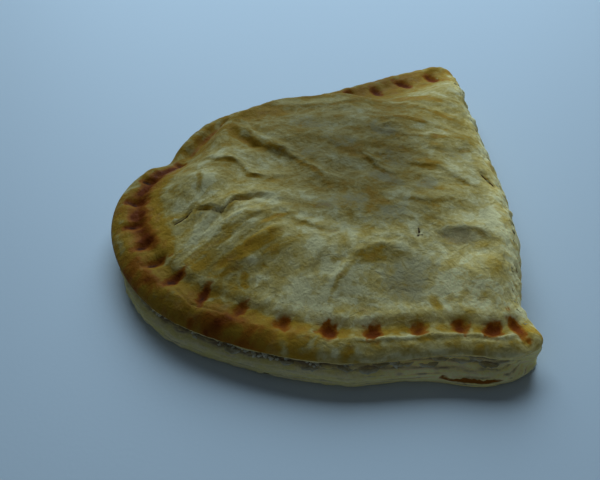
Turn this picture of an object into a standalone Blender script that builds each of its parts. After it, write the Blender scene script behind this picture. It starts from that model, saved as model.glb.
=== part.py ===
"""A folded puff-pastry pasty, D-shaped in plan.

One sheet of pastry is folded over the filling along the straight side. The other sides are crimped with a row of
pressed dents inside a puffed flange, and the baked edge has split into a lid flange and a base flange.

The row frame has +X towards the fold, +Y along the fold and +Z up. Its origin is the middle of the footprint, on
the surface that the pasty lies on. Sizes are in millimetres, and are scaled to metres as the mesh is made.
"""

import math

import bmesh
import bpy
import numpy as np
from mathutils import Vector, kdtree, noise

MM = 0.001

# Driving sizes
LID_HEIGHT = 25.5
FLANGE_HEIGHT = 14.5
LIP_HEIGHT = 10.0
FOLD_RADIUS = 9.0

# Plan of the lip, anticlockwise from the near end of the fold
OUTLINE = (
    (66, -71), (62.8, -61), (66.8, -32), (66, 0), (62.5, 42), (61, 76), (59.6, 79.8), (47, 78), (24, 69.8), (6, 62.5),
    (-18, 55.3), (-38.4, 42.4), (-48.6, 27.5), (-51.5, 22), (-59, 16.6), (-67, 2.4), (-68.3, -10), (-64.5, -28), (-49.5, -52),
    (-24, -67.5), (4, -75.5), (38, -75), (60, -75.5),
)
CENTRE = (6.0, -4.0)
FOLD_ENDS = (-66.0, 73.0)  # y of the fold's two ends
FOLD_SIDE_X = 50.0  # the fold lies beyond this x
CRIMP_ENDS = (62.0, 58.0)  # x of the crimped edge's near and far ends

# Crimp: dents in a groove that follows the lip, between the puffed flange and the lid
FLANGE_FACE = 4.5  # width of the flange's outer face
FLANGE_NOTCH = (-51.5, 21.5)  # where the flange's far piece overlaps the nose
CRIMP_INSET = 9.4
CRIMP_WIDER = ((-42.0, -54.0), 26.0, 2.4)  # the flange is wider round this point: place, reach, extra inset
FIRST_DENT = (60.0, -66.8)
LAST_DENT = (51.5, 68.0)
GROOVE_DEPTH = 1.0
GROOVE_WIDTH = 2.6
BEAD_BEYOND = 5.0  # a low bead inside the dents, where the lid sticks to the filling's edge
BEAD_HEIGHT = 1.2
BEAD_WIDTH = 2.2
DENT_DEPTH = 2.2
DENT_HALF_LENGTH = 2.7
DENT_HALF_WIDTH = 2.3
NEAR_GAPS = (0, 11, 10, 11, 14, 13, 14.5, 13, 13, 14, 12, 8.5, 10.5, 12.5, 13)  # onwards from the first dent
FAR_GAPS = (0, 12.5, 12.5, 12)  # back from the last dent
HIDDEN_GAP = 13.0  # where the lid hides the dents

# The lid rises from the crimp over this width: gently in front and at the far end of the fold, steeply behind
LID_START = 1.7  # beyond the crimp
RISE_FRONT = 24.0
RISE_BACK = 10.5

# Side of the crimped edge below the lip, as inset from the lip and height
SEAM_SIDE = ((0.5, 8.9), (1.6, 8.1), (4.2, 7.3), (3.6, 6.5), (1.2, 5.9), (-0.3, 4.9), (-0.9, 3.2), (-0.2, 1.2), (1.0, 0.0))

# Broad lumps in the lid where the filling pushes it up or lets it sink: x, y, reach, height
LUMPS = (
    (-34, -4, 11, 2.2), (-12, 16, 15, 2.0), (22, 18, 15, 1.6), (6, -16, 15, 1.2), (-16, -34, 10, 1.6),
    (48, 10, 11, 1.6), (46, -22, 10, 1.8), (24, -48, 9, -2.2), (42, -40, 6, -1.6), (52, -54, 9, 1.2),
    (-40, -24, 6, -1.4), (30, 40, 9, -1.6), (-2, -56, 8, 1.0), (56, 46, 9, 1.2), (20, -26, 8, 1.2),
)

# Pleats of the thin lid: points along the crest, half width ahead and behind it, height
PLEATS = (
    (((-26, 23), (-14, 6), (0, -5), (10, -14)), 2.0, 4.5, -1.3),
    (((-24, 27), (-12, 10), (2, 0), (12, -8)), 2.4, 4.0, 1.3),
    (((-39, 5), (-24, -6), (-14, -12), (-4, -10)), 3.5, 1.8, 1.4),
    (((-44, -26), (-35, -22), (-26, -26), (-16, -22), (-6, -19)), 1.8, 5.0, 1.9),
    (((0, -47), (12, -42), (24, -40), (34, -45)), 1.8, 5.0, 1.8),
    (((0, -58), (6, -51), (14, -43), (22, -37)), 2.0, 3.2, 1.3),
    (((32, 0), (41, -6), (50, -13), (60, -17)), 4.5, 1.8, 1.7),
    (((14, 4), (24, -7), (32, -15)), 3.0, 1.8, 1.3),
    (((14, 40), (28, 37), (44, 29), (60, 18)), 1.8, 4.5, 1.6),
    (((40, 3), (52, 3), (62, -4)), 1.8, 3.0, -1.3),
    (((-36, 0), (-34, -14), (-30, -21)), 1.6, 3.0, -1.5),
    (((36, -34), (48, -35), (60, -43)), 3.0, 1.8, 1.4),
    (((-42, 14), (-30, 27), (-10, 38), (10, 42)), 4.5, 2.6, 1.2),
)

PLEAT_FADE = 8.0  # each pleat sinks away over this length at its ends

# How the blank's rings and stations are spaced
LID_RINGS = 18
LID_EDGE_INSET = 14.0
RIM_INSETS = (12.6, 11.2, 9.6, 8.0, 6.4, 4.5, 3.0, 1.6, 0.6, 0.0)
STATIONS_PER_GAP = 4
FOLD_STATION_GAP = 5.0
CORNER_GAP = 1.6
CURVE_SAMPLES = 2400

PASTRY_COLOUR = (0.56, 0.42, 0.17, 1.0)
PASTRY_ROUGHNESS = 0.5


def smooth(share):
    """Eased step from 0 to 1."""
    share = np.clip(share, 0.0, 1.0)
    return share * share * (3.0 - 2.0 * share)


def bump(x, y, at, reach):
    """A round bump of height 1 at a plan point."""
    return np.exp(-((x - at[0]) ** 2 + (y - at[1]) ** 2) / (2.0 * reach**2))


def closed_curve(points, samples):
    """A smooth closed curve through the points, as samples evenly spaced along it."""
    points = np.array(points, float)
    ahead = np.roll(points, -1, 0)
    chord = np.linalg.norm(ahead - points, axis=1)[:, None]
    before = np.roll(chord, 1, 0)
    slope = (ahead - points) / chord
    tangent = (slope * before + np.roll(slope, 1, 0) * chord) / (chord + before)
    t = np.linspace(0.0, 1.0, 60, endpoint=False)[None, :, None]
    start, end = points[:, None], ahead[:, None]
    leave, arrive = (tangent * chord)[:, None], (np.roll(tangent, -1, 0) * chord)[:, None]
    dense = (
        (2 * t**3 - 3 * t**2 + 1) * start
        + (t**3 - 2 * t**2 + t) * leave
        + (3 * t**2 - 2 * t**3) * end
        + (t**3 - t**2) * arrive
    ).reshape(-1, 2)
    dense = np.vstack([dense, dense[:1]])
    along = np.concatenate([[0.0], np.cumsum(np.linalg.norm(np.diff(dense, axis=0), axis=1))])
    wanted = np.linspace(0.0, along[-1], samples, endpoint=False)
    return np.stack([np.interp(wanted, along, dense[:, 0]), np.interp(wanted, along, dense[:, 1])], 1)


def lip_height(x, y):
    """Height of the flange's lip."""
    higher = 1.5 * bump(x, y, (46, -75), 12) + 1.5 * bump(x, y, (-42, 38), 14)
    return LIP_HEIGHT + higher - 2.0 * bump(x, y, FLANGE_NOTCH, 3.5)


def crest_height(x, y):
    """Height of the flange's puffed top."""
    higher = 2.5 * bump(x, y, (-40, 40), 14) + 1.0 * bump(x, y, (-40, -58), 20)
    return FLANGE_HEIGHT + higher - 3.0 * bump(x, y, FLANGE_NOTCH, 3.5)


class Lip:
    """The lip's outline with its normals, and what varies along it."""

    def __init__(self):
        self.point = closed_curve(OUTLINE, CURVE_SAMPLES)
        x, y = self.point.T
        tangent = np.roll(self.point, -12, 0) - np.roll(self.point, 12, 0)
        tangent /= np.linalg.norm(tangent, axis=1)[:, None]
        self.normal = np.stack([tangent[:, 1], -tangent[:, 0]], 1)
        inward = np.array(CENTRE) - self.point
        self.inward = inward / np.linalg.norm(inward, axis=1)[:, None]
        slant = np.clip(-(self.inward * self.normal).sum(1), 0.7, 1.0)
        slant = np.mean([np.roll(slant, turn) for turn in range(-45, 46)], 0)
        self.step_in = self.inward / slant[:, None]
        near, far = FOLD_ENDS
        self.fold = (x > FOLD_SIDE_X) * smooth((y - near + 5.0) / 9.0) * smooth((far + 4.0 - y) / 8.0)
        self.closed = np.maximum(self.fold, bump(x, y, (66, -74), 5.5))
        self.closed = np.maximum(self.closed, bump(x, y, (61, 80), 5.5))
        self.lip_height = lip_height(x, y)
        self.base_out = 1.0 * bump(x, y, (-40, -58), 20) + 3.2 * bump(x, y, (42, -76), 8)
        self.base_out += 1.0 * bump(x, y, (10, -76), 12) - 2.6 * bump(x, y, (-67, -14), 16)
        self.base_out += 2.0 * bump(x, y, (64, -75), 6)
        place, reach, wider = CRIMP_WIDER
        self.crimp = CRIMP_INSET + wider * bump(x, y, place, reach)
        self.seam_deep = 1.0 + 0.8 * bump(x, y, (-20, -68), 24) - 0.6 * bump(x, y, (58, -76), 14)
        crimped = (self.fold < 0.5) & (x < np.where(y < 0.0, *CRIMP_ENDS))
        self.crimp_tree = self.tree(np.nonzero(crimped)[0])
        self.fold_tree = self.tree(np.nonzero(~crimped)[0])

    def tree(self, samples):
        tree = kdtree.KDTree(len(samples))
        for index in samples:
            tree.insert((*self.point[index], 0.0), int(index))
        tree.balance()
        return tree

    def nearest(self, tree, x, y):
        """For each plan point, its distance to the lip and the number of the nearest sample."""
        found = [tree.find((px, py, 0.0)) for px, py in zip(x, y)]
        return np.array([f[2] for f in found]), np.array([f[1] for f in found])


def dents(lip):
    """Numbers of the lip's samples outside each dent, from the near end of the fold round to the far end, then
    each dent's plan point and outward direction."""
    line = lip.point - lip.normal * lip.crimp[:, None]
    start = int(np.argmin(np.linalg.norm(line - FIRST_DENT, axis=1)))
    order = np.roll(np.arange(CURVE_SAMPLES)[::-1], start + 1)
    walked = line[order]
    along = np.concatenate([[0.0], np.cumsum(np.linalg.norm(np.diff(walked, axis=0), axis=1))])
    end = along[int(np.argmin(np.linalg.norm(walked - LAST_DENT, axis=1)))]
    near = list(np.cumsum(NEAR_GAPS))
    far = list(end - np.cumsum(FAR_GAPS))[::-1]
    hidden = max(1, round((far[0] - near[-1]) / HIDDEN_GAP))
    between = [near[-1] + (far[0] - near[-1]) * k / hidden for k in range(1, hidden)]
    samples = [int(order[int(np.searchsorted(along, at))]) for at in (*near, *between, *far)]
    point = line[samples]
    ends = point[:, :1] > FOLD_SIDE_X
    outward = np.where(ends, np.sign(point[:, 1:]) * (0.0, 1.0), lip.normal[samples])
    return samples, np.hstack([point, outward])


def pleat(x, y, path, ahead, behind, height):
    """A crease in the lid: a crest along the path, steeper on the side where its half width is smaller."""
    best = np.full(x.shape, 1e9)
    place = np.zeros(x.shape)  # how far along the path
    start = 0.0
    side = np.zeros(x.shape)  # signed distance from the path's nearest piece
    for (ax, ay), (bx, by) in zip(path, path[1:]):
        run = math.hypot(bx - ax, by - ay)
        ux, uy = (bx - ax) / run, (by - ay) / run
        t = np.clip((x - ax) * ux + (y - ay) * uy, 0.0, run)
        away = np.hypot(x - ax - t * ux, y - ay - t * uy)
        closer = away < best
        best = np.where(closer, away, best)
        side = np.where(closer, (x - ax) * -uy + (y - ay) * ux, side)
        place = np.where(closer, start + t, place)
        start += run
    width = behind + (ahead - behind) * smooth(0.5 + side / 2.0)
    fade = smooth((place + 1.0) / PLEAT_FADE) * smooth((start + 1.0 - place) / PLEAT_FADE)
    return height * fade * np.exp(-((best / width) ** 2))


def crumple(x, y, scale, stretch=2.2, seed=0.0):
    """Irregular creases that run mostly along X, from -1 to 1."""
    return np.array([noise.noise(Vector((px / (scale * stretch), py / scale, seed))) for px, py in zip(x, y)])


def lid_height(lip, dent_places, x, y):
    """Height of the pastry's upper surface over each plan point inside the lip."""
    inset, sample = lip.nearest(lip.crimp_tree, x, y)
    fold_inset, _ = lip.nearest(lip.fold_tree, x, y)
    crest, edge = crest_height(x, y), lip_height(x, y)
    face = np.clip(inset / FLANGE_FACE, 0.0, 1.0)
    round_face = 0.55 * np.sqrt(1.0 - (1.0 - face) ** 2) + 0.45 * face
    flange = edge + (crest - edge) * round_face
    beyond = inset - lip.crimp[sample]
    flange -= GROOVE_DEPTH * np.exp(-((beyond / GROOVE_WIDTH) ** 2))
    flange += BEAD_HEIGHT * np.exp(-(((beyond - BEAD_BEYOND) / BEAD_WIDTH) ** 2))

    plateau = LID_HEIGHT - 3.0 * smooth((x - 30.0) / 34.0) - 2.5 * smooth((-18.0 - x) / 34.0)
    for lx, ly, reach, height in LUMPS:
        plateau += height * bump(x, y, (lx, ly), reach)
    for path, ahead, behind, height in PLEATS:
        plateau += pleat(x, y, path, ahead, behind, height)
    plateau += 0.9 * crumple(x, y, 9.0) + 0.5 * crumple(x, y, 4.5, seed=7.0)
    rise = RISE_BACK + (RISE_FRONT - RISE_BACK) * np.maximum(
        smooth((10.0 - y) / 50.0), 0.7 * smooth((x - 12.0) / 24.0) * smooth((y + 20.0) / 30.0)
    )
    lifted = smooth((beyond - LID_START) / rise)
    height = flange + (plateau - flange) * lifted

    for px, py, nx, ny in dent_places:
        out = (x - px) * nx + (y - py) * ny
        across = (y - py) * nx - (x - px) * ny
        height -= DENT_DEPTH * np.exp(-((out / DENT_HALF_LENGTH) ** 4) - (across / DENT_HALF_WIDTH) ** 4)

    turned = np.clip(fold_inset / FOLD_RADIUS, 0.0, 1.0)
    return edge + (height - edge) * np.sqrt(1.0 - (1.0 - turned) ** 2)


def station_samples(dent_samples):
    """Numbers of the lip's samples at which the blank is divided, with one at every dent."""
    order = sorted(dent_samples)
    spacing = CURVE_SAMPLES / len_of_lip()
    stations = []
    for here, after in zip(order, order[1:] + [order[0] + CURVE_SAMPLES]):
        wide = after - here
        parts = STATIONS_PER_GAP if wide < 20 * spacing else round(wide / (FOLD_STATION_GAP * spacing))
        stations += [here + wide * k / parts for k in range(parts)]
    for step in (CORNER_GAP, 2 * CORNER_GAP, 3 * CORNER_GAP):
        stations += [dent_samples[0] + step * spacing, dent_samples[-1] - step * spacing]
    return np.array(sorted(round(s) % CURVE_SAMPLES for s in stations))


def len_of_lip():
    points = closed_curve(OUTLINE, CURVE_SAMPLES)
    return float(np.linalg.norm(np.roll(points, -1, 0) - points, axis=1).sum())


def turned_blank(rings, stations):
    """A closed round blank, turned from a half section with one vertex for each ring. Its first and last rings
    are the poles. Returns the bmesh with each vertex's ring in the layer "ring"."""
    bm = bmesh.new()
    layer = bm.verts.layers.int.new("ring")
    section = []
    for ring in range(rings):
        angle = math.pi * ring / (rings - 1)
        vertex = bm.verts.new((math.sin(angle), 0.0, math.cos(angle)))
        vertex[layer] = ring
        section.append(vertex)
    edges = [bm.edges.new(pair) for pair in zip(section, section[1:])]
    bmesh.ops.spin(
        bm, geom=section + edges, cent=(0, 0, 0), axis=(0, 0, 1), angle=2 * math.pi, steps=stations, use_merge=True
    )
    bmesh.ops.remove_doubles(bm, verts=bm.verts, dist=1e-6)
    bmesh.ops.recalc_face_normals(bm, faces=bm.faces)
    return bm


def side_section(lip, at, row):
    """Inset and height of one row of the side below the lip, at the given samples."""
    share = (row + 1) / len(SEAM_SIDE)
    inset, height = SEAM_SIDE[row]
    inset = np.full(len(at), inset)
    height = height * lip.lip_height[at] / LIP_HEIGHT
    inset = np.where(inset > 2.0, inset * lip.seam_deep[at], inset)
    low = smooth((6.5 - SEAM_SIDE[row][1]) / 3.0)
    x, y = lip.point[at].T
    ragged = 0.5 * crumple(x * 1.7, y * 1.7, 9.0, stretch=1.0, seed=row * 1.3)
    inset = inset - lip.base_out[at] * low + ragged
    quarter = share * math.pi / 2.0
    fold_inset = 4.0 * (1.0 - math.cos(quarter)) + 0.6 * ragged - lip.base_out[at] * low
    fold_height = LIP_HEIGHT * (1.0 - math.sin(quarter))
    weight = lip.closed[at]
    height = height + (fold_height - height) * weight
    return inset + (fold_inset - inset) * weight, np.maximum(height, 0.0)


def shape_pasty(bm, lip, dent_places, stations):
    """Presses the turned blank into the pasty."""
    layer = bm.verts.layers.int["ring"]
    vertices = list(bm.verts)
    ring = np.array([v[layer] for v in vertices])
    turn = np.array([math.atan2(v.co.y, v.co.x) for v in vertices]) / (2.0 * math.pi) % 1.0
    at = stations[np.round(turn * len(stations)).astype(int) % len(stations)]
    lip_point, step_in = lip.point[at], lip.step_in[at]
    plan = np.zeros((len(vertices), 2))
    height = np.zeros(len(vertices))

    lid_end = LID_RINGS
    rim_end = lid_end + len(RIM_INSETS)
    side_end = rim_end + len(SEAM_SIDE)
    lid_edge = lip_point + step_in * LID_EDGE_INSET
    share = np.clip(ring / lid_end, 0.0, 1.0)[:, None]
    plan[:] = np.array(CENTRE) + (lid_edge - CENTRE) * share
    for index, inset in enumerate(RIM_INSETS):
        rows = ring == lid_end + 1 + index
        plan[rows] = lip_point[rows] + step_in[rows] * inset
    upper = ring <= rim_end
    height[upper] = lid_height(lip, dent_places, *plan[upper].T)
    for row in range(len(SEAM_SIDE)):
        rows = ring == rim_end + 1 + row
        inset, z = side_section(lip, at[rows], row)
        plan[rows] = lip_point[rows] + step_in[rows] * inset[:, None]
        height[rows] = z
    plan[ring > side_end] = CENTRE

    spread = (plan.max(0) + plan.min(0)) / 2.0
    for vertex, (x, y), z in zip(vertices, plan - spread, height):
        vertex.co = (x * MM, y * MM, z * MM)


def pastry_material():
    material = bpy.data.materials.new("baked_pastry")
    material.use_nodes = True
    shader = material.node_tree.nodes["Principled BSDF"]
    shader.inputs["Base Color"].default_value = PASTRY_COLOUR
    shader.inputs["Roughness"].default_value = PASTRY_ROUGHNESS
    shader.inputs["Metallic"].default_value = 0.0
    return material


def make_pasty(collection):
    lip = Lip()
    dent_samples, dent_places = dents(lip)
    stations = station_samples(dent_samples)
    rings = LID_RINGS + 1 + len(RIM_INSETS) + len(SEAM_SIDE) + 1
    bm = turned_blank(rings, len(stations))
    shape_pasty(bm, lip, dent_places, stations)
    bmesh.ops.triangulate(bm, faces=bm.faces)
    mesh = bpy.data.meshes.new("pasty")
    bm.to_mesh(mesh)
    bm.free()
    mesh.materials.append(pastry_material())
    mesh.shade_smooth()
    mesh.set_sharp_from_angle(angle=math.radians(50))
    pasty = bpy.data.objects.new("pasty", mesh)
    collection.objects.link(pasty)
    return pasty


def main():
    for obj in list(bpy.data.objects):
        bpy.data.objects.remove(obj)
    collection = bpy.data.collections.new("pasty")
    bpy.context.scene.collection.children.link(collection)
    make_pasty(collection)


main()
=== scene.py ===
"""The looks of a baked, folded puff-pastry pasty, laid out as a Blender add-on.

The pastry is one closed mesh that stands in the CAD solid's place. Leaves and crumbs in its split edge, and
loose flakes on its crust, are small pieces beside it. Shapes are worked out in millimetres, and a mesh gets
metres.
"""

import math

import bmesh
import bpy
import numpy as np
from mathutils import Euler, Matrix, Vector, kdtree, noise


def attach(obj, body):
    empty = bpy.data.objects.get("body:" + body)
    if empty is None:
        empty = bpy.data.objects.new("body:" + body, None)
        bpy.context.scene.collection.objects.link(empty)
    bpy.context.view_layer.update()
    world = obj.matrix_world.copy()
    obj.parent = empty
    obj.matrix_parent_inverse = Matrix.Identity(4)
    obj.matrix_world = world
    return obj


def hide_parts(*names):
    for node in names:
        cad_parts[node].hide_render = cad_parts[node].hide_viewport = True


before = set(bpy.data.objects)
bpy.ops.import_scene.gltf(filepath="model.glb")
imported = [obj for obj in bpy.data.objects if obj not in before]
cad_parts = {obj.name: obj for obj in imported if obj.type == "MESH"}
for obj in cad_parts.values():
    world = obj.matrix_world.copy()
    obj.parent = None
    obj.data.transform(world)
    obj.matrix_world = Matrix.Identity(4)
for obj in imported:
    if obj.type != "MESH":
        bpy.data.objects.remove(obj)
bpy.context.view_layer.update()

bl_info = {
    "name": "Baked pasty",
    "version": (1, 0),
    "blender": (4, 5, 0),
    "location": "3D View > Sidebar > Pasty",
    "description": "Makes a folded puff-pastry pasty and the stage for its picture",
    "category": "Add Mesh",
}

MM = 0.001

# Plan of the lip, anticlockwise from the near end of the fold
OUTLINE = (
    (66, -71), (62.8, -61), (66.8, -32), (66, 0), (62.5, 42), (61, 76), (59.6, 79.8), (47, 78), (24, 69.8),
    (6, 62.5), (-18, 55.3), (-38.4, 42.4), (-48.6, 27.5), (-51.5, 22), (-59, 16.6), (-67, 2.4),
    (-68.3, -10), (-64.5, -28), (-49.5, -52), (-24, -67.5), (4, -75.5), (38, -75), (60, -75.5),
)
FOOTPRINT_MIDDLE = np.array((-0.61, 0.55))
CENTRE = np.array((6.0, -4.0))
FOLD_ENDS = (-66.0, 73.0)  # y of the fold's two ends
FOLD_SIDE_X = 50.0  # the fold lies beyond this x
FOLD_CORNERS = ((66, -74), (61, 80))  # where the split edge closes
CRIMP_ENDS = (62.0, 58.0)  # x of the crimped edge's near and far ends
CURVE_SAMPLES = 2400
SPAN_SAMPLES = 60  # between two points of the outline
TANGENT_REACH = 12  # samples on each side of a tangent
SLANT_REACH = 45  # samples on each side that even out the way inwards

# Rows of the mesh, from the middle of the lid to the middle of the base
LID_RINGS = 84
RIM_RINGS = 37
SIDE_RINGS = 32
BASE_RINGS = 3
LID_EDGE_INSET = 14.0  # the rim's rows begin at this inset
BASE_EDGE_INSET = 1.6
FINISHES = (
    "scorch", "char", "golden", "greyed", "pale", "crack", "relief", "streak", "side", "hollow", "gravy",
    "fair",
)

# Crimp: dents in a groove that follows the lip
FLANGE_NOTCH = (-51.5, 21.5)  # where the flange's far piece overlaps the nose
NOTCH_REACH = 3.5
FLANGE_FACE = 5.5  # inset at which the flange has reached its full height
CRIMP_INSET = 7.9
FIRST_DENT = (60.3, -68.6)
FAR_DENTS = ((17.5, 58.5), (28.5, 59.3), (39.8, 63.6), (51.2, 67.4))  # the last ones, at the fold's far end
# Gaps from one dent to the next, onwards from the first dent
NEAR_GAPS = (0, 9.5, 9.5, 12, 13.5, 13, 14, 14, 13, 12.5, 10.5, 9.5, 11, 12.5, 12)
HIDDEN_GAP = 13.0
# Dents that point another way than the lip's normal: place, reach, outward direction
SLANTED = (((60.0, -67.0), 6.0, (0.43, -0.9)), ((38.0, 62.0), 22.0, (-0.6, 0.8)))
DENT_HALF_LENGTH = 2.3
DENT_HALF_WIDTH = 2.5
DENT_REACH = 12.0

# What varies along the lip: x, y, reach, amount
CRIMP_WIDER = ((-42.0, -54.0, 26.0, 2.4), (33.0, 68.0, 17.0, 3.6))
LIP_HIGHER = ((46, -75, 12, 1.5), (-42, 38, 14, 1.5))
CREST_HIGHER = ((-40, 40, 14, 2.5), (-40, -58, 20, 1.0))
BASE_OUT = (
    (-40, -58, 20, 1.0), (43, -76, 8, 3.4), (10, -76, 12, 1.0), (-67, -14, 16, -2.6), (64, -75, 6, 2.0),
)
SEAM_DEEPER = ((-20, -68, 24, 0.6), (48, -76, 16, -0.75), (14, -76, 14, -0.45))

# Side of the crimped edge below the lip, as inset from the lip and height
SEAM_SIDE = (
    (0.0, 10.0), (0.5, 8.9), (1.6, 8.1), (4.2, 7.3), (3.6, 6.5), (1.2, 5.9), (-0.3, 4.9), (-0.9, 3.2),
    (-0.2, 1.2), (1.0, 0.0),
)
SEAM_MOUTH = 1.6  # the seam's depth varies past this inset
BASE_TOP = 6.5  # the base starts below this height
LEAF_STEP = 1.15  # height of one leaf in the side
SLIT_X, SLIT_HEIGHT = 43.0, 3.6  # the slit with baked gravy in the near side
SPECK = (-15.2, -71.4, 2.0)  # a burnt speck on the base: x, y, height

# Small pieces
CRUMB_HEAP = (-22.0, -68.5)  # where crumbs gather in the split edge
HEAP_CLUMPS = 5
CLUMP = 7  # crumbs in one clump
CLUMP_STEP = 22  # samples of the lip from one clump of the heap to the next
FLAKE_SPOTS = ((-45.0, -20.0), (-36.0, -19.5), (33.0, -38.0), (59.0, -9.0))
GOLDEN_STEP, PLASTIC_STEP = 0.6180339, 0.754877  # steps that spread pieces evenly
SLOPE_STEP = 0.6

# Broad lumps in the lid: x, y, reach, height
LUMPS = (
    (-34, -4, 11, 2.2), (-12, 16, 15, 2.0), (22, 18, 15, 1.6), (6, -16, 15, 1.2), (-16, -34, 10, 1.6),
    (48, 10, 11, 1.6), (46, -22, 10, 1.8), (27, -53, 8, -1.6), (44, -41, 7, -1.6), (52, -54, 9, 1.2),
    (-40, -24, 6, -1.4), (30, 40, 9, -1.6), (-2, -56, 8, 1.0), (56, 46, 9, 1.2), (20, -26, 8, 1.2),
)

# Pleats of the thin lid: points along the crest, half width ahead and behind it, height
PLEATS = (
    (((-28, 23), (-25, 16), (-19, 9), (-10, 2), (-3, -3)), 1.6, 3.4, -1.5),
    (((-24, 22), (-17, 13), (-8, 5), (2, -6), (10, -14)), 1.6, 3.4, 1.2),
    (((-41, 7), (-37, 7), (-31, 2), (-25, 0), (-19, -7), (-13, -9), (-6, -8)), 1.8, 1.0, 0.8),
    (((-42, -21), (-38, -17), (-33, -19), (-28, -22), (-24, -18), (-18, -18), (-10, -17)), 4.0, 1.0, 1.2),
    (((0, -61), (6, -52), (13, -45), (21, -42), (28, -43), (33, -47)), 1.3, 4.5, 1.0),
    (((-6, -50), (2, -46), (13, -44), (22, -40)), 2.4, 1.2, 0.6),
    (((32, -1), (37, -4), (43, -5), (49, -11), (58, -16)), 3.2, 1.1, 0.9),
    (((12, 9), (17, 6), (23, -5), (30, -11)), 3.0, 1.2, 0.8),
    (((14, 41), (28, 38), (44, 30), (60, 19)), 1.4, 3.4, 0.8),
    (((40, 3), (49, 3), (54, 5), (61, 2)), 1.2, 2.4, -0.6),
    (((-36, 2), (-35, -9), (-32, -18)), 3.0, 1.2, 0.8),
    (((36, -37), (42, -35), (50, -35), (60, -40)), 3.0, 1.1, 1.0),
    (((-42, 14), (-30, 27), (-10, 38), (10, 42)), 4.5, 2.6, 0.9),
    (((-41, -40), (-33, -31), (-24, -27), (-12, -25)), 1.2, 2.2, 0.8),
    (((-31, -42), (-18, -37), (-6, -32)), 1.1, 2.0, 0.8),
    (((-38, -47), (-26, -43), (-16, -42)), 1.0, 1.8, 0.6),
    (((-22, -44), (-21, -53)), 1.0, 1.0, -0.5),
    (((57, -6), (62, -14)), 1.0, 1.6, -0.7),
    (((18, 30), (34, 24), (48, 18), (60, 10)), 1.2, 2.8, 0.5),
    (((20, 18), (36, 12), (52, 12), (60, 8)), 1.0, 2.2, 0.4),
    (((-9, -25), (-4, -31), (3, -34), (12, -36)), 1.8, 1.0, 0.7),
    (((-14, 34), (0, 33), (12, 34), (26, 40)), 1.4, 2.6, 0.6),
    (((3, -61), (9, -63.5), (17, -64), (23, -63), (34, -62.7), (46, -62)), 1.8, 0.8, 0.55),
    (((26, -20), (36, -24), (50, -22)), 2.4, 1.0, 0.5),
)
PLEAT_FADE = 11.0

# Cracks in the lid: points along each, half width, depth
CRACKS = (
    (((-46, -21.5), (-43, -21), (-41, -20), (-38.5, -17.8)), 0.38, 0.9),
    (((-38, -18.6), (-33, -20.6), (-28.5, -23.6), (-24.6, -19.8), (-18.5, -20)), 0.4, 0.4),
    (((32, -39.5), (33, -37), (33, -34.6)), 0.4, 0.6),
    (((57, -6.5), (61.5, -13)), 0.4, 0.6),
    (((32.5, -70), (34.6, -69)), 0.4, 0.6),
    (((-43.5, -47), (-38, -54.5), (-31.5, -57), (-27.5, -59)), 0.4, 0.35),
)

# Where the bake differs on the lid: x, y, reach along, reach across, turn in degrees, strength
GOLDEN = (
    (-31, -34, 15, 2.6, 27, 0.95), (-20, -39, 14, 3.2, 22, 1.0), (-36, -41, 8, 3.0, 30, 0.85),
    (-12, -30, 10, 1.6, 18, 0.7), (-27, 21, 5, 2.6, -40, 1.0), (-20, 11, 9, 1.6, -42, 0.9),
    (-42, 2, 3.5, 9, 10, 0.5), (21, 43, 13, 6.0, -8, 0.75), (40, 40, 12, 4.5, -18, 1.0),
    (0, 40, 18, 4.6, 8, 0.75), (-15, 29, 15, 6.5, 12, 0.8), (32, 4, 12, 3.0, -25, 0.55),
    (42, -3, 8, 2.4, -22, 0.5), (45, -39, 8, 3.0, 0, 0.8), (36, -60, 2.4, 4.5, 24, 0.6),
    (18, -46, 15, 2.4, 0, 0.6), (3, -25, 14, 3.0, 6, 0.5), (-8, -12, 14, 3.0, -20, 0.4),
    (-21, -49, 1.4, 4.5, 12, 0.5), (63, 0, 2.2, 4, 0, 1.0), (58, 28, 4, 9, 8, 0.3), (57, -48, 6, 9, 0, 0.4),
    (-8, -40, 10, 2.4, 20, 0.6), (56, 12, 8, 2.0, -15, 0.4), (12, -62, 14, 2.8, 0, 0.6),
    (62, -28, 3.5, 9, 0, 0.5), (-46, -8, 3, 9, 0, 0.45), (50, 54, 12, 4, 10, 0.5),
    (-30, -2, 9, 2.0, -20, 0.45), (46, -58, 12, 4, 0, 0.5), (12, 24, 9, 3, -30, 0.45),
    (4, 4, 7, 2.4, -35, 0.4),
)
GREYED = (
    (28, -53, 9, 7.5, 0, 0.95), (34, -49, 5, 5, 0, 0.8), (46, -38.5, 9, 4.0, -4, 1.0),
    (46, -39, 7, 3, 0, 1.0), (27, 15, 9, 5, -20, 0.75), (1, 20, 9, 5, -20, 0.75), (25, -12, 8, 4, -30, 0.8),
    (38, -15, 4.5, 4, 0, 1.0), (12, -23, 15, 6, 0, 0.7), (6, -36, 12, 5, 10, 0.5), (24, -29, 9, 7, 0, 0.7),
    (-26, -6, 10, 3, -25, 0.45), (-4, 4, 9, 6, -20, 0.6), (50, 2, 6, 3, -10, 0.6),
    (-31, -22, 6, 1.4, -10, 0.8), (40, 22, 8, 3, -15, 0.5), (12, 8, 9, 5, -30, 0.6),
    (-18, 22, 6, 3, -30, 0.4), (14, 30, 8, 4, -10, 0.5), (30, 0, 10, 6, -20, 0.6), (20, 38, 9, 4, -10, 0.4),
)
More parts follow.
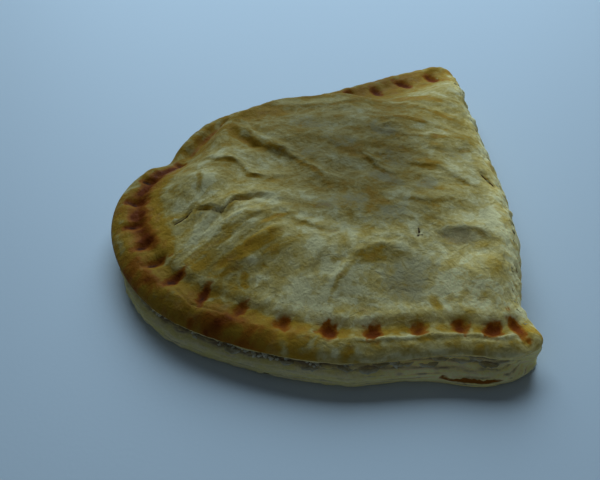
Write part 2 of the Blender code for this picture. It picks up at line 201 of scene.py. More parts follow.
PALE = (
    (-34, -8, 6, 8, 0, 0.9), (-17, -20, 12, 3.0, 6, 1.0), (-6, -20, 7, 3.5, 0, 0.8),
    (11, -1, 9, 2.6, -30, 0.9), (27, -19, 6, 4, 0, 0.9), (54, -28, 9, 10, 0, 0.9), (38, 18, 9, 4, -15, 0.6),
    (42, -55, 9, 7, 0, 0.9), (8, -53, 8, 6, 40, 0.8), (-43, -14, 4, 5, 0, 0.8), (24, 28, 12, 3, -5, 0.5),
    (-6, -54, 12, 5, 10, 0.7), (52, -6, 10, 8, 0, 1.3), (54, 40, 6, 8, 0, 0.5), (56, 62, 6, 9, 0, 0.5),
    (56, -58, 6, 6, 0, 0.7), (20, -60, 12, 2, 0, 0.7), (-12, 10, 8, 2.5, -40, 0.7),
    (-44, -26, 6, 4, 0, 0.5), (34, -36, 6, 3, 0, 0.7), (34, 36, 9, 3, -12, 0.5), (47, 12, 10, 6, -15, 0.6),
    (30, -50, 12, 8, 0, 0.5),
)

# Creases of the thin skin: size, stretch, noise seed, from the wide to the fine ones
CREASES = ((5.4, 2.6, 1.0), (2.5, 3.2, 4.0), (1.25, 3.0, 6.0))

# Camera in the photo's own frame, in millimetres and degrees
CAMERA_PLACE = (-4.0, -246.05, 212.5)
CAMERA_DOWN = 42.11
CAMERA_ROLL = -2.12
SENSOR_WIDTH = 36.0

# Soft lights: name, the stage's power, size, place, colour
LIGHTS = (
    ("key_light", "key_power", 0.98, (0.045, 0.84, 0.69), (0.53, 0.77, 1.0)),
    ("fill_light", "fill_power", 0.9, (-0.5, -0.8, 0.7), (0.60, 0.80, 1.0)),
)
SKY_COLOUR = (0.53, 0.76, 1.0, 1.0)
FLOOR_CLOUD = (0.60, 0.615, 0.625)
FLOOR_SIZE = 3.0


def length_setting(name, description, default, smallest=0.0):
    return bpy.props.FloatProperty(
        name=name, description=description, default=default, min=smallest, unit="LENGTH"
    )


def power_setting(name, description, default):
    return bpy.props.FloatProperty(name=name, description=description, default=default, min=0.0, unit="POWER")


def count_setting(name, description, default, smallest=0):
    return bpy.props.IntProperty(name=name, description=description, default=default, min=smallest)


def colour_setting(name, description, default):
    return bpy.props.FloatVectorProperty(
        name=name, description=description, default=default, subtype="COLOR", size=3, min=0.0, max=1.0
    )


class PastyShape(bpy.types.PropertyGroup):
    """Sizes of the pasty"""

    lid_height: length_setting("Lid height", "Height of the middle of the lid", 0.0255, 0.01)
    flange_height: length_setting("Flange height", "Height of the puffed flange", 0.0145, 0.005)
    lip_height: length_setting("Lip height", "Height of the flange's lower edge", 0.010, 0.003)
    fold_radius: length_setting("Fold radius", "How far the lid rounds over at the fold", 0.009)
    dent_depth: length_setting("Dent depth", "Depth of the crimp's pressed dents", 0.0012)
    crumple_height: length_setting("Crumple height", "Height of the thin skin's creases", 0.0007)
    leaf_depth: length_setting("Leaf depth", "How far the side's leaves stand out", 0.0009)
    stations: count_setting("Stations", "Divisions of the mesh round the pasty", 620, 60)
    seam_leaves: count_setting("Seam leaves", "Torn leaves in the split edge", 80)
    flakes: count_setting("Flakes", "Loose flakes on the crust", 34)
    crumbs: count_setting("Crumbs", "Crumbs in the split edge", 110)


class PastyBake(bpy.types.PropertyGroup):
    """Colours of the baked pastry"""

    cream: colour_setting("Cream", "Thin skin of the lid", (0.365, 0.248, 0.078))
    straw: colour_setting("Straw", "Deeper parts of the lid", (0.305, 0.183, 0.036))
    pale: colour_setting("Pale", "Floury parts", (0.46, 0.355, 0.165))
    grey: colour_setting("Grey", "Skin where the filling shows through", (0.255, 0.193, 0.092))
    gold: colour_setting("Gold", "Glazed and golden parts", (0.30, 0.148, 0.013))
    amber: colour_setting("Amber", "Rings round the dents", (0.25, 0.075, 0.006))
    scorch: colour_setting("Scorch", "Floor of the dents", (0.140, 0.027, 0.003))
    char: colour_setting("Char", "Burnt specks and cracks", (0.035, 0.010, 0.004))
    crumb: colour_setting("Crumb", "Inner leaves of the split edge", (0.50, 0.40, 0.22))
    flour: colour_setting("Flour", "Floury crumbs in the split edge", (0.78, 0.70, 0.52))
    # Painted shade of the split edge's recess and of the gaps between its leaves.
    hollow: colour_setting("Hollow", "Depths of the split edge", (0.185, 0.125, 0.072))
    base: colour_setting("Base", "Base of the pastry", (0.46, 0.36, 0.125))
    gravy: colour_setting("Gravy", "Filling that has baked in the side's slit", (0.14, 0.042, 0.005))


class PastyStage(bpy.types.PropertyGroup):
    """Floor, lights and camera"""

    floor: colour_setting("Floor", "The plain floor", (0.56, 0.575, 0.585))
    key_power: power_setting("Key light", "Power of the soft light behind the pasty", 13.8)
    fill_power: power_setting("Fill light", "Power of the soft light in front", 0.36)
    sky: bpy.props.FloatProperty(name="Sky", description="Strength of the sky", default=0.072, min=0.0)
    focal_length: bpy.props.FloatProperty(
        name="Focal length", description="The camera's lens, in millimetres on a 36 mm sensor", default=54.4
    )


def smooth(share):
    """Eased step from 0 to 1."""
    share = np.clip(share, 0.0, 1.0)
    return share * share * (3.0 - 2.0 * share)


def ridge(distance, width):
    """A soft ridge of height 1, at a distance from its crest."""
    return np.exp(-((distance / width) ** 2))


def bump(x, y, at, reach):
    """A round bump of height 1 at a plan point."""
    return np.exp(-((x - at[0]) ** 2 + (y - at[1]) ** 2) / (2.0 * reach**2))


def varied(x, y, places):
    """Sum of round bumps, each given as x, y, reach and height."""
    return sum(height * bump(x, y, (px, py), reach) for px, py, reach, height in places)


def grain(x, y, scale, stretch=1.0, turn=0.0, seed=0.0):
    """Smooth noise from -1 to 1, drawn out by stretch along a direction that is turned from X."""
    c, s = math.cos(math.radians(turn)), math.sin(math.radians(turn))
    along = (x * c + y * s) / (scale * stretch)
    across = (y * c - x * s) / scale
    return np.array([noise.noise(Vector((a, b, seed))) for a, b in zip(along, across)])


def ripple(along, scale, seed):
    """Smooth noise that varies only along the lip."""
    return grain(along, np.zeros(along.shape), scale, seed=seed)


def patches(x, y, spots):
    """Soft oval patches, as the strongest of them at each point."""
    found = np.zeros(x.shape)
    for px, py, along, across, turn, strength in spots:
        c, s = math.cos(math.radians(turn)), math.sin(math.radians(turn))
        u = ((x - px) * c + (y - py) * s) / along
        v = ((y - py) * c - (x - px) * s) / across
        found = np.maximum(found, strength * np.exp(-((u * u + v * v) ** 1.3)))
    return found


def closed_curve(points, samples):
    """A smooth closed curve through the points, as samples evenly spaced along it."""
    points = np.array(points, float)
    ahead = np.roll(points, -1, 0)
    chord = np.linalg.norm(ahead - points, axis=1)[:, None]
    before = np.roll(chord, 1, 0)
    slope = (ahead - points) / chord
    tangent = (slope * before + np.roll(slope, 1, 0) * chord) / (chord + before)
    t = np.linspace(0.0, 1.0, SPAN_SAMPLES, endpoint=False)[None, :, None]
    start, end = points[:, None], ahead[:, None]
    leave, arrive = (tangent * chord)[:, None], (np.roll(tangent, -1, 0) * chord)[:, None]
    dense = (
        (2 * t**3 - 3 * t**2 + 1) * start
        + (t**3 - 2 * t**2 + t) * leave
        + (3 * t**2 - 2 * t**3) * end
        + (t**3 - t**2) * arrive
    ).reshape(-1, 2)
    dense = np.vstack([dense, dense[:1]])
    along = np.concatenate([[0.0], np.cumsum(np.linalg.norm(np.diff(dense, axis=0), axis=1))])
    wanted = np.linspace(0.0, along[-1], samples, endpoint=False)
    return np.stack([np.interp(wanted, along, dense[:, 0]), np.interp(wanted, along, dense[:, 1])], 1)


def from_path(x, y, path):
    """Distance from a path, signed distance from its nearest piece, place along it and its length."""
    best = np.full(x.shape, 1e9)
    side, place = np.zeros(x.shape), np.zeros(x.shape)
    start = 0.0
    for (ax, ay), (bx, by) in zip(path, path[1:]):
        run = math.hypot(bx - ax, by - ay)
        ux, uy = (bx - ax) / run, (by - ay) / run
        t = np.clip((x - ax) * ux + (y - ay) * uy, 0.0, run)
        away = np.hypot(x - ax - t * ux, y - ay - t * uy)
        closer = away < best
        best = np.where(closer, away, best)
        side = np.where(closer, (x - ax) * -uy + (y - ay) * ux, side)
        place = np.where(closer, start + t, place)
        start += run
    return best, side, place, start


def pleat(x, y, path, ahead, behind, height):
    """A crease in the lid: a crest along the path, steeper on the side where its half width is smaller. It
    also returns how near each point is to the crest, painted pale as flour and highlight, and to the foot,
    painted golden as glaze and shade."""
    x = x + 1.1 * grain(x, y, 5.0, seed=60.0) + 0.4 * grain(x, y, 2.2, seed=61.0)
    y = y + 1.1 * grain(x, y, 5.0, seed=62.0) + 0.4 * grain(x, y, 2.2, seed=63.0)
    best, side, place, length = from_path(x, y, path)
    width = behind + (ahead - behind) * smooth(0.5 + side / 2.0)
    fade = min(PLEAT_FADE, length / 2.5)
    fade = smooth((place + 1.0) / fade) * smooth((length + 1.0 - place) / fade)
    fade = fade * (0.8 + 0.6 * grain(x, y, 6.0, seed=64.0))
    crest = fade * ridge(best, 0.7) * (height > 0)
    foot = fade * ridge(side + 1.4 * (height > 0), 1.3) * (best < 4.0)
    return height * fade * ridge(best, width), crest, foot


class Lip:
    """The lip's outline with its normals, and what varies along it."""

    def __init__(self, shape):
        self.shape = shape
        self.point = closed_curve(OUTLINE, CURVE_SAMPLES)
        x, y = self.point.T
        tangent = np.roll(self.point, -TANGENT_REACH, 0) - np.roll(self.point, TANGENT_REACH, 0)
        tangent /= np.linalg.norm(tangent, axis=1)[:, None]
        self.normal = np.stack([tangent[:, 1], -tangent[:, 0]], 1)
        inward = CENTRE - self.point
        inward /= np.linalg.norm(inward, axis=1)[:, None]
        slant = np.clip(-(inward * self.normal).sum(1), 0.7, 1.0)
        slant = np.mean([np.roll(slant, turn) for turn in range(-SLANT_REACH, SLANT_REACH + 1)], 0)
        self.step_in = inward / slant[:, None]
        length = float(np.linalg.norm(np.roll(self.point, -1, 0) - self.point, axis=1).sum())
        self.along = np.arange(CURVE_SAMPLES) * length / CURVE_SAMPLES
        near, far = FOLD_ENDS
        self.fold = (x > FOLD_SIDE_X) * smooth((y - near + 5.0) / 9.0) * smooth((far + 4.0 - y) / 8.0)
        self.closed = self.fold
        for corner in FOLD_CORNERS:
            self.closed = np.maximum(self.closed, bump(x, y, corner, 5.5))
        self.base_out = varied(x, y, BASE_OUT)
        self.crimp = CRIMP_INSET + varied(x, y, CRIMP_WIDER)
        self.seam_deep = 1.0 + varied(x, y, SEAM_DEEPER)
        crimped = (self.fold < 0.5) & (x < np.where(y < 0.0, *CRIMP_ENDS))
        self.crimp_tree = self.tree(np.nonzero(crimped)[0])
        self.fold_tree = self.tree(np.nonzero(~crimped)[0])

    def tree(self, samples):
        tree = kdtree.KDTree(len(samples))
        for index in samples:
            tree.insert((*self.point[index], 0.0), int(index))
        tree.balance()
        return tree

    def nearest(self, tree, x, y):
        """For each plan point, its distance to the lip and the number of the nearest sample."""
        found = [tree.find((px, py, 0.0)) for px, py in zip(x, y)]
        return np.array([f[2] for f in found]), np.array([f[1] for f in found])

    def edge(self, x, y):
        """Height of the flange's lip."""
        height = self.shape.lip_height / MM + varied(x, y, LIP_HIGHER)
        return height - 1.4 * bump(x, y, FLANGE_NOTCH, NOTCH_REACH)

    def crest(self, x, y):
        """Height of the flange's puffed top."""
        height = self.shape.flange_height / MM + varied(x, y, CREST_HIGHER)
        return height - 2.0 * bump(x, y, FLANGE_NOTCH, NOTCH_REACH)

    def deepened(self, at, inset):
        """Inset of the seam's section where the seam is deeper or shallower than usual."""
        return np.where(inset > SEAM_MOUTH, SEAM_MOUTH + (inset - SEAM_MOUTH) * self.seam_deep[at], inset)

    def frayed(self, at, down):
        """Shift of the fold's flaky skin in plan, at samples of the lip and a distance across them."""
        along = self.along[at]
        out = 1.2 * grain(along, 1.4 * down, 4.5, seed=48.0) + 1.1 * grain(along, 1.8 * down, 2.2, seed=49.0)
        out = out * (0.75 + 1.1 * grain(along, 0.3 * down, 9.0, seed=53.0))
        out += 0.9 * ripple(along, 2.8, 54.0) * ridge(down, 2.2)
        return self.normal[at] * (out * self.fold[at])[:, None]

    def dents(self):
        """Each dent's plan point, outward direction, half length and half width."""
        line = self.point - self.normal * self.crimp[:, None]
        start = int(np.argmin(np.linalg.norm(line - FIRST_DENT, axis=1)))
        order = np.roll(np.arange(CURVE_SAMPLES)[::-1], start + 1)
        walked = line[order]
        along = np.concatenate([[0.0], np.cumsum(np.linalg.norm(np.diff(walked, axis=0), axis=1))])
        end = along[int(np.argmin(np.linalg.norm(walked - FAR_DENTS[0], axis=1)))]
        near = list(np.cumsum(NEAR_GAPS))
        hidden = max(1, round((end - near[-1]) / HIDDEN_GAP))
        between = [near[-1] + (end - near[-1]) * k / hidden for k in range(1, hidden)]
        samples = [int(order[int(np.searchsorted(along, at))]) for at in (*near, *between)]
        samples += [int(np.argmin(np.linalg.norm(line - place, axis=1))) for place in FAR_DENTS]
        point = np.vstack([line[samples[: -len(FAR_DENTS)]], FAR_DENTS])
        outward = self.normal[samples]
        narrow = smooth((-6.0 - point[:, :1]) / 24.0)
        for place, reach, way in SLANTED:
            slanted = np.linalg.norm(point - place, axis=1, keepdims=True) < reach
            outward = np.where(slanted, way, outward)
            narrow = np.maximum(narrow, slanted)
        vary = np.array([[noise.noise(Vector((k * 2.7, 0.4, 5.0)))] for k in range(len(samples))])
        half_length = DENT_HALF_LENGTH + 1.7 * narrow + 0.9 * vary
        return np.hstack([point, outward, half_length, DENT_HALF_WIDTH - 0.8 * narrow + 0.5 * vary])


def far_flange(x, y):
    """1 behind the lid on the far left, where the risen lid hides the dents."""
    return smooth((y - 14.0) / 8.0) * smooth((12.0 - x) / 12.0)


def directed(x, y, scale, stretch, seed):
    """Ridged noise that is drawn out along the way the skin is pulled: one way at the nose's front, one at
    the far left and one elsewhere. It is 1 on the ridges and about -1 in the valleys."""
    nose = smooth((-4.0 - x) / 14.0) * smooth((-14.0 - y) / 10.0)
    far = (1.0 - nose) * smooth((6.0 - x) / 20.0)
    found = np.zeros(x.shape)
    for weight, drawn, turn in ((nose, 1.0, 27.0), (far, 0.7, -38.0), (1.0 - nose - far, 0.5, -20.0)):
        found += weight * (1.0 - 2.6 * np.abs(grain(x, y, scale, stretch * drawn, turn, seed)))
    return found


class Crust:
    """The upper surface over plan points inside the lip: its height, and what its finish depends on."""

    def __init__(self, lip, dents, x, y):
        self.shape, self.x, self.y = lip.shape, x, y
        self.inset, sample = lip.nearest(lip.crimp_tree, x, y)
        self.beyond = self.inset - lip.crimp[sample]
        self.behind = far_flange(x, y)
        self.edge = lip.edge(x, y)
        self.rim_line = self.beyond + 2.7 + 0.5 * grain(x, y, 7.0, seed=12.0)
        self.rim_shown = smooth((x - 4.0) / 12.0) * smooth((62.0 - x) / 6.0) * (y < 0.0)
        self.rim_shown = self.rim_shown * (0.75 + 0.5 * grain(x, y, 9.0, seed=13.0))
        flange = self.flange(lip.crest(x, y), lip.along[sample])
        self.height = flange + (self.lid() - flange) * self.lifted()
        self.press(dents)
        fold_inset, _ = lip.nearest(lip.fold_tree, x, y)
        turned = np.clip(fold_inset / (self.shape.fold_radius / MM), 0.0, 1.0)
        self.height = self.edge + (self.height - self.edge) * np.sqrt(1.0 - (1.0 - turned) ** 2)
        self.crack = self.cracked()

    def flange(self, crest, along):
        """Height of the puffed flange with the crimp's groove, the bead inside it and the lid's thin rim."""
        face = np.clip(self.inset / FLANGE_FACE, 0.0, 1.0)
        height = self.edge + (crest - self.edge) * (0.65 * np.sqrt(1.0 - (1.0 - face) ** 2) + 0.35 * face)
        height -= (0.4 + 1.4 * self.behind) * ridge(self.beyond, 2.8)
        height += 0.4 * (1.0 - self.behind) * ridge(self.beyond - 4.4, 2.0)
        height += 0.4 * self.rim_shown * ridge(self.rim_line, 0.7)
        height -= 0.25 * self.rim_shown * ridge(self.rim_line + 1.3, 0.8)
        puffs = 0.3 * grain(along, self.inset * 0.25, 2.6, seed=15.0)
        puffs += 0.6 * grain(self.x, self.y, 6.5, seed=16.0)
        puffs += 0.2 * grain(self.x, self.y, 2.2, seed=17.0)
        return height + puffs * smooth(self.inset / 2.0)

    def lid(self):
        """Height of the free lid, with its lumps, pleats and creases."""
        x, y = self.x, self.y
        height = self.shape.lid_height / MM - 3.0 * smooth((x - 30.0) / 34.0)
        height -= 2.5 * smooth((-18.0 - x) / 34.0)
        height += varied(x, y, LUMPS)
        self.crests, self.glaze_and_shade_feet = np.zeros(x.shape), np.zeros(x.shape)
        for path, ahead, behind, amount in PLEATS:
            raised, crest, foot = pleat(x, y, path, ahead, behind, amount)
            height += raised
            self.crests, self.glaze_and_shade_feet = np.maximum(self.crests, crest), np.maximum(self.glaze_and_shade_feet, foot)
        wx, wy = x + 2.4 * grain(x, y, 11.0, seed=2.0), y + 2.4 * grain(x, y, 11.0, seed=9.0)
        wide, self.narrow, self.fine = (directed(wx, wy, *crease) for crease in CREASES)
        pulled = smooth((6.0 - x) / 20.0) * smooth((-12.0 - y) / 12.0)
        rough = 0.5 * smooth(0.4 + 0.9 * grain(x, y, 13.0, seed=18.0)) + 0.8 * pulled
        self.creases = (0.3 + 0.35 * pulled) * wide + (0.06 + 0.24 * rough) * self.narrow
        self.creases = self.creases + (0.02 + 0.1 * rough) * self.fine
        return height + (0.8 * grain(x, y, 9.0, 2.2) + self.shape.crumple_height / MM * self.creases)

    def lifted(self):
        """How far the surface has risen from the flange to the free lid, from 0 to 1."""
        x, y = self.x, self.y
        right = 0.7 * smooth((x - 12.0) / 24.0) * smooth((y + 20.0) / 30.0)
        slow = np.maximum(smooth((26.0 - y) / 46.0), right)
        flat = bump(x, y, (38, 58), 20)
        risen = np.clip((self.beyond - 1.7 - 3.5 * flat) / (11.5 + 18.0 * slow + 3.0 * flat), 0.0, 1.0)
        return 0.5 * smooth(risen) + 0.5 * (1.0 - (1.0 - risen) ** 2.2)

    def press(self, dents):
        """Presses the dents and burns their floors."""
        self.scorch, self.char = np.zeros(self.x.shape), np.zeros(self.x.shape)
        for index, (px, py, nx, ny, half_length, half_width) in enumerate(dents):
            close = np.nonzero((np.abs(self.x - px) < DENT_REACH) & (np.abs(self.y - py) < DENT_REACH))[0]
            x, y, shown = self.x[close], self.y[close], 1.0 - self.behind[close]
            out = (x - px) * nx + (y - py) * ny
            across = (y - py) * nx - (x - px) * ny
            across = across + 0.16 * out * math.sin(index * 2.1)
            wobble = grain(x, y, 1.7, seed=20.0 + index) + 0.5 * grain(x, y, 0.8, seed=50.0 + index)
            pressed = np.abs(out / half_length) ** 2.4 + np.abs(across / half_width) ** 2.4
            depth = self.shape.dent_depth / MM * shown * np.exp(-pressed * (1.0 + 0.5 * wobble))
            self.height[close] -= depth
            oval = np.hypot((out - 0.1) / (half_length * 1.15), across / (half_width * 1.05))
            oval = oval * (1.0 + 0.42 * wobble)
            burnt = shown * (0.88 + 0.2 * math.sin(index * 1.7)) * np.exp(-(oval**2.6))
            self.scorch[close] = np.maximum(self.scorch[close], burnt)
            core = np.hypot((out - 0.25 * half_length) / (half_length * 0.62), across / (half_width * 0.62))
            burnt = shown * np.exp(-((core * (1.0 + 0.5 * wobble)) ** 2.2))
            self.char[close] = np.maximum(self.char[close], burnt)

    def cracked(self):
        """Opens the lid's cracks, and returns how open each point is."""
        crack = np.zeros(self.x.shape)
        for path, half_width, depth in CRACKS:
            best, _, place, length = from_path(self.x, self.y, path)
            open_here = ridge(best, half_width) * smooth((place + 0.4) / 2.0)
            open_here *= smooth((length + 0.4 - place) / 2.0)
            self.height -= depth * open_here
            crack = np.maximum(crack, open_here * min(1.0, depth / 0.6))
        return crack

    def toasted(self, lid, front_left, rim_pale, dry):
        """How golden the flange and the lid's edge are."""
        x, y, beyond, behind = self.x, self.y, self.beyond, self.behind
        found = 0.36 + 0.7 * front_left - 0.05 * behind - 0.22 * smooth((x - 14.0) / 20.0) * (y < 0.0)
        found = found + 0.45 * grain(x, y, 6.0, 1.5, seed=33.0) + 0.5 * grain(x, y, 3.0, seed=34.0)
        found = (1.0 - smooth((self.inset - 6.5) / 5.0)) * found
        found += 0.55 * ridge(beyond, 3.4) * (1.0 - 0.4 * behind) + 0.8 * bump(x, y, (34, 66), 16)
        found *= 1.0 - 0.8 * rim_pale
        far_band = ridge(beyond - 6.0, 6.0) * smooth((y - 8.0) / 12.0)
        far_band *= 0.8 + 0.8 * grain(x, y, 4.5, seed=35.0)
        nose_band = 1.15 * ridge(beyond - 5.5, 5.0) * smooth((-38.0 - x) / 8.0) * smooth((y + 40.0) / 12.0)
        found = np.maximum(found, np.maximum(far_band, nose_band))
        return found - 0.35 * (1.0 - lid) * dry

    def scorched(self, front_left):
        """How brown the surface is: in the dents, along the nose, behind the lid and on the front left."""
        x, y, beyond = self.x, self.y, self.beyond
        mottle = grain(x, y, 3.2, 2.0, 10.0, 31.0)
        nose = smooth((-44.0 - x) / 5.0) * smooth((y + 34.0) / 10.0) * smooth((26.0 - y) / 6.0)
        band = ridge(beyond - 1.6, 3.4) * nose * (0.74 + 0.9 * mottle + 0.2 * self.narrow)
        rear = ridge(beyond - 0.3, 1.5) * self.behind
        found = np.maximum(self.scorch, np.clip(band, 0.0, 1.0))
        found = np.maximum(found, 0.36 * rear * (0.9 + 0.6 * mottle))
        umber = bump(x, y, (-27, -66), 9) + bump(x, y, (-53, -39), 7) + 0.4 * bump(x, y, (-64, -6), 8)
        umber = np.clip(umber, 0.0, 1.0)
        umber += 0.35 * front_left * smooth(2.4 * grain(x, y, 2.8, seed=37.0) - 0.3)
        umber *= 0.62 * (1.0 - smooth((self.inset - 5.0) / 4.0))
        return np.maximum(found, umber * (0.8 + 0.9 * mottle))

    def fair(self, lid):
        """How much painted window light brightens the surface's colour; below zero it is painted shade."""
        x, y = self.x, self.y
        foot = ridge(self.beyond - 4.2, 3.0)
        near = smooth((-24.0 - y) / 26.0) * smooth((x + 34.0) / 30.0) * (0.98 + 0.62 * lid + 0.65 * foot)
        right = 0.95 * smooth((x - 28.0) / 24.0) + 1.6 * smooth((x - 54.0) / 9.0)
        patchy = 0.95 * bump(x, y, (-28, -24), 18) - 0.6 * bump(x, y, (14, 2), 22)
        patchy = patchy + 0.75 * bump(x, y, (50, -50), 14) + 0.12
        return np.maximum(near, right) + lid * patchy + 0.3 * bump(x, y, (-64, -18), 14)

    def finish(self):
        """What the crust's colours and relief depend on, at each point."""
        x, y = self.x, self.y
        lid = smooth((self.beyond - 2.0) / 5.0)
        front_left = np.clip(bump(x, y, (-34, -62), 22) + 0.4 * bump(x, y, (-64, -24), 16), 0.0, 1.0)
        rim_pale = self.rim_shown * ridge(self.rim_line, 0.8)
        dry = smooth(2.4 * grain(x, y, 3.2, seed=36.0) - 0.2)
        dusted = ridge(self.inset, 1.3) * smooth((x + 6.0) / 24.0) * (y < 0.0)
        dusted = np.maximum(0.6 * dry * (1.0 - lid), dusted)
        # Floury parts; the pleats' crest lines are painted pale, partly flour and partly a painted highlight.
        floury = np.maximum(0.35 * self.crests, 0.6 * smooth((x - 56.0) / 6.0))
        floury = np.maximum(patches(x, y, PALE), floury) * lid
        return {
            "scorch": self.scorched(front_left),
            "char": self.char * (0.35 + 0.65 * smooth((-20.0 - x) / 20.0)),
            # Golden parts; the pleats' foot lines are painted golden, partly glaze and partly painted shade.
            "golden": np.maximum(
                self.toasted(lid, front_left, rim_pale, dry),
                np.maximum(patches(x, y, GOLDEN), 0.75 * self.glaze_and_shade_feet) * lid,
            ),
            "greyed": patches(x, y, GREYED) * lid,
            "pale": np.maximum(floury, np.maximum(0.9 * rim_pale, dusted)),
            "crack": self.crack,
            # Crease heights, which the colour turns into paler crests and darker, more golden and greyer
            # valleys: partly glaze, partly painted highlight and shade.
            "relief": self.creases * lid,
            "streak": (0.6 * self.narrow + 0.4 * self.fine) * (0.35 + 0.65 * lid),
            "fair": self.fair(lid),
        }


def side_profile(share):
    """Inset and height of the split edge's section, from the lip down to the base."""
    knots = np.array(SEAM_SIDE)
    along = np.concatenate([[0.0], np.cumsum(np.linalg.norm(np.diff(knots, axis=0), axis=1))])
    return np.interp(share, along / along[-1], knots[:, 0]), np.interp(share, along / along[-1], knots[:, 1])


def near_base(height):
    """1 on the base's own side, and 0 from its top upwards."""
    return smooth((BASE_TOP - height) / 3.0)


def side_surface(lip, at, share):
    """Inset and height of the side below the lip, and what its finish depends on."""
    x, y = lip.point[at].T
    along = lip.along[at]
    drawn, height = side_profile(share)
    height = height * lip.edge(x, y) / (lip.shape.lip_height / MM)
    low = near_base(height)
    inset = lip.deepened(at, drawn) - lip.base_out[at] * low

    closed = lip.closed[at]
    quarter = share * math.pi / 2.0
    flaky = 0.7 * grain(along, height * 0.4, 5.0, seed=48.0)
    flaky += 0.5 * grain(along, height * 0.9, 1.9, seed=49.0)
    fold_inset = 4.0 * (1.0 - np.cos(quarter)) - lip.base_out[at] * low + flaky * (1.0 - low)
    fold_height = lip.edge(x, y) * (1.0 - np.sin(quarter))
    inset = inset + (fold_inset - inset) * closed
    height = height + (fold_height - height) * closed

    level = height / LEAF_STEP + 0.5 * grain(along, height * 0.3, 14.0, seed=40.0)
    leaf = np.floor(level)
    across = level - leaf
    torn = grain(along, leaf * 9.1, 3.6, seed=41.0) + 0.6 * grain(along, leaf * 5.3, 1.3, seed=42.0)
    torn += 0.35 * grain(along, leaf * 3.7, 0.7, seed=43.0)
    between = ridge(np.minimum(across, 1.0 - across), 0.17)
    shown = smooth(share / 0.08) * smooth((1.0 - share) / 0.06)
    seam = smooth((share - 0.10) / 0.08) * smooth((0.62 - share) / 0.10) * (1.0 - closed)
    layered = smooth((x + 4.0) / 30.0) * (y < 0.0)
    depth = lip.shape.leaf_depth / MM * (0.45 + 0.9 * seam) * (1.0 - 0.55 * layered)
    inset = inset - shown * depth * (torn - 0.75 * between * (1.0 - 0.7 * closed))
    inset += 0.4 * grain(along, height, 5.5, seed=44.0) * shown
    edge_wear = 0.5 * ripple(along, 4.4, 45.0) + 0.45 * ripple(along, 1.5, 52.0)
    edge_wear *= smooth((0.2 - share) / 0.2)
    height = np.maximum(height + edge_wear * smooth(share / 0.05), 0.0)

    ragged = ripple(along, 3.2, 46.0) + 0.6 * grain(along, height, 1.2, seed=51.0)
    slit = ((x > 28) & (y < -60)) * np.exp(-((np.abs(x - SLIT_X + 2.0 * ragged) / 9.0) ** 3))
    slit = slit * ridge(height - SLIT_HEIGHT - 0.6 * ragged, 0.75 + 0.3 * ragged)
    inset = inset + 0.9 * slit
    away = ((x - SPECK[0]) / 1.2) ** 2 + ((y - SPECK[1]) / 3.0) ** 2 + ((height - SPECK[2]) / 0.8) ** 2

    # Painted shade: darker deeper in the split edge's recess and in the gaps between leaves, less where the
    # side is layered or closed.
    hollow = seam * (0.45 + 0.6 * smooth((drawn - 0.8) / 2.4) - 0.25 * torn) * (1.0 - 0.7 * layered)
    hollow = hollow * (1.0 - layered * smooth((share - 0.34) / 0.12))
    hollow = hollow + (0.5 + 0.25 * layered - 0.4 * closed) * between * shown
    hollow += 0.3 * layered * (0.3 - torn) * smooth((height - 3.0) / 1.5) * shown * (1.0 - 0.6 * closed)
    # Painted light: the near part of the side, its right end and the fold's side are painted brighter.
    near = 1.0 + 1.1 * smooth((x - 10.0) / 24.0) + 0.8 * bump(x, y, (8, -76), 16)
    finish = {
        "side": smooth(share / 0.1) * (1.0 - lip.fold[at] * smooth((0.6 - share) / 0.5)),
        "hollow": np.clip(hollow, 0.0, 1.0),
        "gravy": slit,
        "crack": np.exp(-away),
        "golden": 0.35 * closed * smooth(0.5 + grain(along, height, 4.0, 3.0, seed=47.0)),
        "relief": torn * shown,
        "fair": np.maximum(near * smooth((12.0 - y) / 40.0), 2.4 * lip.fold[at] * (1.0 - 0.6 * share)),
    }
    return inset, np.where(share >= 0.999, 0.0, height), finish


def rolled_blank(rings, stations):
    """A closed round blank, rolled up from a grid with one row for each ring. Its first and last rings are
    the poles. Each vertex's ring is in the layer "ring"."""
    bm = bmesh.new()
    bmesh.ops.create_grid(bm, x_segments=stations, y_segments=rings - 1, size=0.5)
    layer = bm.verts.layers.int.new("ring")
    for vertex in bm.verts:
        ring = round((0.5 - vertex.co.y) * (rings - 1))
        tilt, turn = math.pi * ring / (rings - 1), 2.0 * math.pi * (vertex.co.x + 0.5)
        vertex[layer] = ring
        vertex.co = (math.sin(tilt) * math.cos(turn), math.sin(tilt) * math.sin(turn), math.cos(tilt))
    bmesh.ops.remove_doubles(bm, verts=bm.verts, dist=1e-6)
    bmesh.ops.recalc_face_normals(bm, faces=bm.faces)
    return bm


